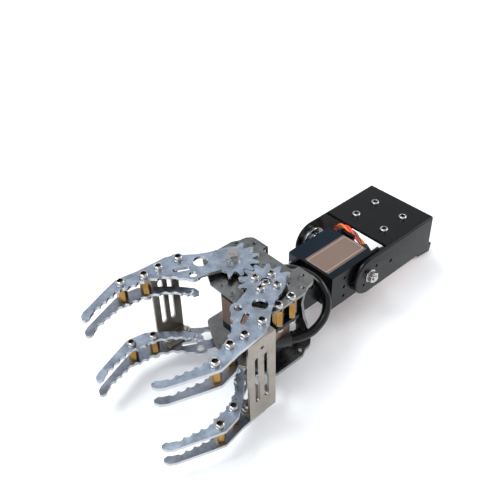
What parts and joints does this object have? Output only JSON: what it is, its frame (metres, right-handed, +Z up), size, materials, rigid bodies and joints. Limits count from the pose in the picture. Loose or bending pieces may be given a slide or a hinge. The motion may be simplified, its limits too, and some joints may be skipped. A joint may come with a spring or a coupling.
{
  "type": "desktop robot arm",
  "caption": "Short robot arm with a servo-driven elbow and a geared parallel-plate gripper whose serrated aluminium jaws open and close together.",
  "frame": {"origin": "centre of the four fixing screws, on the underside of the base bracket's web", "axes": "+X towards the finger tips, +Y towards the driven jaw, +Z up; the fixing screws point down, along -Z"},
  "size_m": [0.2685, 0.0926, 0.0837],
  "materials": {
    "black_anodised": "satin black anodised aluminium",
    "jaw_aluminium": "satin raw aluminium",
    "palm_aluminium": "brushed aluminium",
    "servo_black": "satin blue-black case",
    "servo_rose": "satin rose-gold anodised aluminium",
    "brass": "machined brass",
    "stainless": "bright stainless steel",
    "horn_silver": "machined aluminium",
    "sleeve_black": "glossy black heat-shrink sleeve",
    "wire_orange": "orange, red and brown wire insulation",
    "plug_black": "black moulded plastic",
    "motor_steel": "plain steel can",
    "board_green": "green circuit board"
  },
  "bodies": {
    "base": {"base_bracket": "black_anodised", "base_screws": "stainless", "elbow_horn": "horn_silver", "elbow_output_shaft": "stainless", "elbow_horn_screws": "stainless", "idler_bolt": "stainless", "idler_nut": "stainless"},
    "forearm": {"elbow_case_bottom": "servo_black", "elbow_case_middle": "servo_rose", "elbow_case_top": "servo_black", "elbow_case_screws": "stainless", "elbow_motor": "motor_steel", "elbow_control_board": "board_green", "servo_bracket": "black_anodised", "idler_bush": "brass", "bracket_screws": "stainless", "wrist_spacer": "black_anodised", "wrist_screws": "stainless", "palm": "palm_aluminium", "gripper_case_bottom": "servo_black", "gripper_case_middle": "servo_rose", "gripper_case_top": "servo_black", "gripper_case_screws": "stainless", "gripper_motor": "motor_steel", "gripper_control_board": "board_green", "palm_standoffs": "brass", "palm_standoff_screws": "stainless", "jaw_pivot_bolts": "stainless", "jaw_pivot_bushes": "brass", "jaw_pivot_nuts": "stainless", "gripper_gland": "plug_black", "gripper_lead": "sleeve_black", "gripper_plug": "plug_black", "elbow_gland": "plug_black", "elbow_lead": "wire_orange", "elbow_plug": "plug_black"},
    "jaw_near": {"gripper_output_shaft": "stainless", "gripper_horn": "horn_silver", "gripper_horn_screws": "stainless", "near_gear_plate_upper": "jaw_aluminium", "near_gear_plate_lower": "jaw_aluminium", "near_finger_plate_upper": "jaw_aluminium", "near_finger_plate_lower": "jaw_aluminium", "near_tie_plate": "jaw_aluminium", "near_standoffs": "brass", "near_screws": "stainless", "near_nuts": "stainless"},
    "jaw_far": {"far_gear_plate_upper": "jaw_aluminium", "far_gear_plate_lower": "jaw_aluminium", "far_finger_plate_upper": "jaw_aluminium", "far_finger_plate_lower": "jaw_aluminium", "far_tie_plate": "jaw_aluminium", "far_standoffs": "brass", "far_screws": "stainless", "far_nuts": "stainless"}
  },
  "joints": [
    {"name": "elbow_pitch", "type": "hinge", "parent": "base", "child": "forearm", "pos_m": [0.0385, 0, -0.012], "axis": [0, 1, 0], "range_deg": [-60, 20]},
    {"name": "near_jaw_swing", "type": "hinge", "parent": "forearm", "child": "jaw_near", "pos_m": [0.12, 0.014, 0], "axis": [0, 0, 1], "range_deg": [-18, 20]},
    {"name": "far_jaw_swing", "type": "hinge", "parent": "forearm", "child": "jaw_far", "pos_m": [0.12, -0.014, 0], "axis": [0, 0, 1], "range_deg": [-20, 18]}
  ],
  "couplings": [
    {"joint": "far_jaw_swing", "follows": "near_jaw_swing", "ratio": -1}
  ]
}
